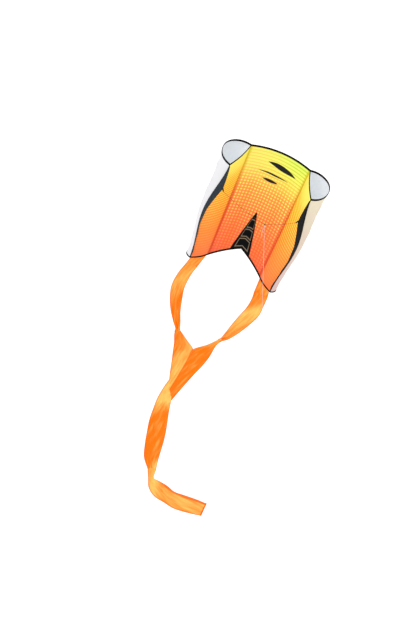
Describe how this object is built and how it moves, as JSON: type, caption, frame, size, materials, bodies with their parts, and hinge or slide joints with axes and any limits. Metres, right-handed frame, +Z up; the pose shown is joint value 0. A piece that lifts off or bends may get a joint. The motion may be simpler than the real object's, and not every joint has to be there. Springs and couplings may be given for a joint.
{
  "type": "pocket sled kite",
  "caption": "Frameless sled kite: printed centre panel between ram-air tubes, keels, bridle, flying line with hand loop, and forked ribbon tail.",
  "frame": {"origin": "the tow point, at the middle of the tow knot where both bridle legs meet the flying line", "axes": "+Z up along the kite's spine, from the tail to the leading edge; -Y towards the flyer, the side that the bridle and keels are on; +X to the right as the flyer sees it"},
  "size_m": [0.6602, 1.2584, 1.602],
  "materials": {
    "sail_print": "printed ripstop cloth, satin, yellow at the top to red-orange at the foot",
    "white_cloth": "plain ripstop cloth, satin, lets some light through",
    "edge_tape": "folded woven tape, matt",
    "black_cloth": "plain ripstop cloth, satin",
    "tail_ribbon": "thin ribbon cloth, satin, lets some light through",
    "flying_line": "braided polyester line",
    "bridle_cord": "braided polyester cord, dark"
  },
  "bodies": {
    "sail": {"centre_panel": "sail_print", "leading_edge_binding": "edge_tape", "left_trailing_edge_binding": "edge_tape", "right_trailing_edge_binding": "edge_tape", "notch_gusset": "black_cloth", "tow_knot": "bridle_cord", "left_bridle_leg": "bridle_cord", "right_bridle_leg": "bridle_cord"},
    "left_tube": {"left_tube_face": "sail_print", "left_tube_back": "white_cloth", "left_mouth_face_binding": "edge_tape", "left_mouth_back_binding": "edge_tape", "left_foot_face_binding": "edge_tape", "left_foot_back_binding": "edge_tape", "left_keel": "black_cloth", "left_bridle_tab": "edge_tape", "left_leg_knot": "bridle_cord", "left_tail_tab": "tail_ribbon"},
    "right_tube": {"right_tube_face": "sail_print", "right_tube_back": "white_cloth", "right_mouth_face_binding": "edge_tape", "right_mouth_back_binding": "edge_tape", "right_foot_face_binding": "edge_tape", "right_foot_back_binding": "edge_tape", "right_keel": "black_cloth", "right_bridle_tab": "edge_tape", "right_leg_knot": "bridle_cord", "right_tail_tab": "tail_ribbon"},
    "tail_yoke": {"left_tail_arm": "tail_ribbon", "right_tail_arm": "tail_ribbon", "tail_fork": "tail_ribbon"},
    "streamer": {"tail_streamer": "tail_ribbon"},
    "tail_end": {"tail_tip": "tail_ribbon", "tail_end_hem": "tail_ribbon"},
    "tow_line": {"line_knot": "flying_line", "line_tag": "flying_line", "flying_line": "flying_line", "hand_loop_knot": "flying_line", "hand_loop": "flying_line"}
  },
  "joints": [
    {"name": "left_side_fold", "type": "hinge", "parent": "sail", "child": "left_tube", "pos_m": [-0.129, 0.175, 0.111], "axis": [-0.0199, 0, 0.9998], "range_deg": [-10, 35], "deforming": ["left_bridle_leg"]},
    {"name": "right_side_fold", "type": "hinge", "parent": "sail", "child": "right_tube", "pos_m": [0.061, 0.175, 0.111], "axis": [0.0199, 0, 0.9998], "range_deg": [-35, 10], "deforming": ["right_bridle_leg"]},
    {"name": "tail_swing", "type": "hinge", "parent": "sail", "child": "tail_yoke", "pos_m": [-0.034, 0.154, -0.44], "axis": [1, 0, 0], "range_deg": [-50, 50]},
    {"name": "streamer_swing", "type": "hinge", "parent": "tail_yoke", "child": "streamer", "pos_m": [-0.061, 0.154, -1.012], "axis": [1, 0, 0], "range_deg": [-60, 60]},
    {"name": "tail_tip_swing", "type": "hinge", "parent": "streamer", "child": "tail_end", "pos_m": [-0.007, 0.154, -1.3895], "axis": [0, 1, 0], "range_deg": [-30, 30]},
    {"name": "line_swing", "type": "hinge", "parent": "sail", "child": "tow_line", "pos_m": [0, 0, 0], "axis": [1, 0, 0], "range_deg": [-30, 55]}
  ]
}
